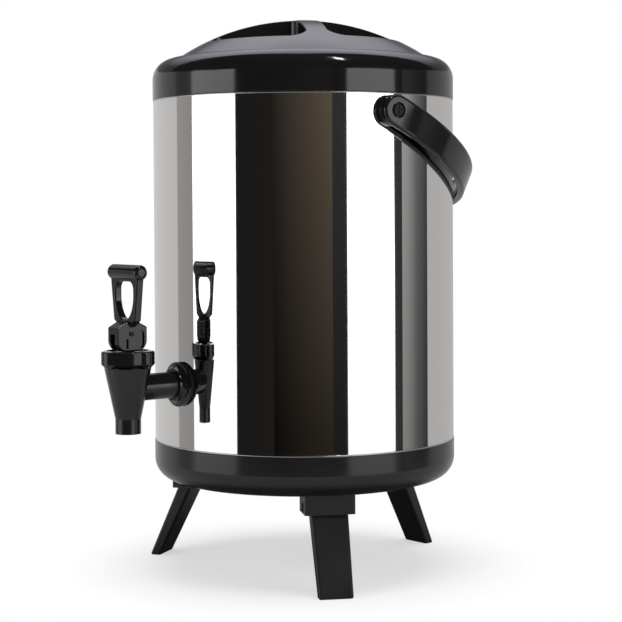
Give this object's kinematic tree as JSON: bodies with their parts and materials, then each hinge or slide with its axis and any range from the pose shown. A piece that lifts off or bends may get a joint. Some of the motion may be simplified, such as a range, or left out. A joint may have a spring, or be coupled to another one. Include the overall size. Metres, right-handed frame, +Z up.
{
  "type": "tea urn",
  "caption": "Insulated steel barrel for tea with a black screw lid, collar and base, a lever tap, a swing carrying handle and folding legs.",
  "frame": {"origin": "on the floor, under the middle of the barrel", "axes": "+Z up along the barrel's axis, the tap points along -Y, +X to the right seen from the tap's side"},
  "size_m": [0.2617, 0.3248, 0.4367],
  "materials": {
    "polished_steel": "mirror polished",
    "gloss_black": "gloss moulded",
    "satin_black": "satin moulded",
    "white_plastic": "food grade",
    "foam": "rigid cellular foam",
    "silicone": "matte",
    "black_rubber": "matte",
    "steel_hardware": "bright",
    "black_screws": "black oxide"
  },
  "bodies": {
    "vessel": {"outer_shell": "polished_steel", "inner_liner": "polished_steel", "base_cup": "gloss_black", "top_collar": "gloss_black", "foam_insulation": "foam", "foam_floor": "foam", "tap_body": "gloss_black", "tap_flange": "gloss_black", "tap_outer_gasket": "black_rubber", "tap_inner_gasket": "silicone", "tap_lock_nut": "white_plastic", "tap_bonnet": "gloss_black", "tap_spring": "steel_hardware", "handle_boss_right": "gloss_black", "handle_boss_left": "gloss_black", "handle_screws": "black_screws", "handle_nuts": "steel_hardware", "leg_block_right": "satin_black", "leg_block_left": "satin_black", "leg_block_back": "satin_black", "leg_pins": "steel_hardware", "leg_screws": "steel_hardware"},
    "lid_ring": {"lid_seal": "silicone"},
    "lid": {"lid_cover": "gloss_black", "lid_inner": "white_plastic", "lid_foam": "foam"},
    "tap_valve": {"tap_stem": "white_plastic", "tap_seat_cup": "silicone", "tap_lever_pin": "steel_hardware"},
    "tap_lever": {"tap_lever": "gloss_black"},
    "handle": {"carry_handle": "gloss_black"},
    "leg_right": {"leg_right": "satin_black"},
    "leg_left": {"leg_left": "satin_black"},
    "leg_back": {"leg_back": "satin_black"}
  },
  "joints": [
    {"name": "lid_rise", "type": "slide", "parent": "vessel", "child": "lid_ring", "axis": [0, 0, 1], "range_m": [0, 0.0321]},
    {"name": "lid_turn", "type": "hinge", "parent": "lid_ring", "child": "lid", "pos_m": [0, 0, 0.4053], "axis": [0, 0, 1], "range_deg": [0, 360]},
    {"name": "stem_lift", "type": "slide", "parent": "vessel", "child": "tap_valve", "axis": [0, 0, 1], "range_m": [0, 0.0025], "deforming": ["tap_spring"]},
    {"name": "lever_tilt", "type": "hinge", "parent": "tap_valve", "child": "tap_lever", "pos_m": [0, -0.167, 0.194], "axis": [1, 0, 0], "range_deg": [0, 40], "stiffness_Nm_per_rad": 0.0074, "springref_deg": -65.32},
    {"name": "handle_swing", "type": "hinge", "parent": "vessel", "child": "handle", "pos_m": [0, 0, 0.359], "axis": [0.9962, -0.0872, 0], "range_deg": [0, 231.65]},
    {"name": "leg_fold_right", "type": "hinge", "parent": "vessel", "child": "leg_right", "pos_m": [0.08662, -0.04605, 0.063], "axis": [0.4695, 0.8829, 0], "range_deg": [0, 115]},
    {"name": "leg_fold_left", "type": "hinge", "parent": "vessel", "child": "leg_left", "pos_m": [-0.08319, -0.05199, 0.063], "axis": [0.5299, -0.848, 0], "range_deg": [0, 115]},
    {"name": "leg_fold_back", "type": "hinge", "parent": "vessel", "child": "leg_back", "pos_m": [-0.00342, 0.09804, 0.063], "axis": [-0.9994, -0.0349, 0], "range_deg": [0, 115]}
  ],
  "couplings": [
    {"joint": "lid_rise", "follows": "lid_turn", "m_per_rad": 0.005093},
    {"joint": "stem_lift", "follows": "lever_tilt", "m_per_rad": 0.0035}
  ]
}
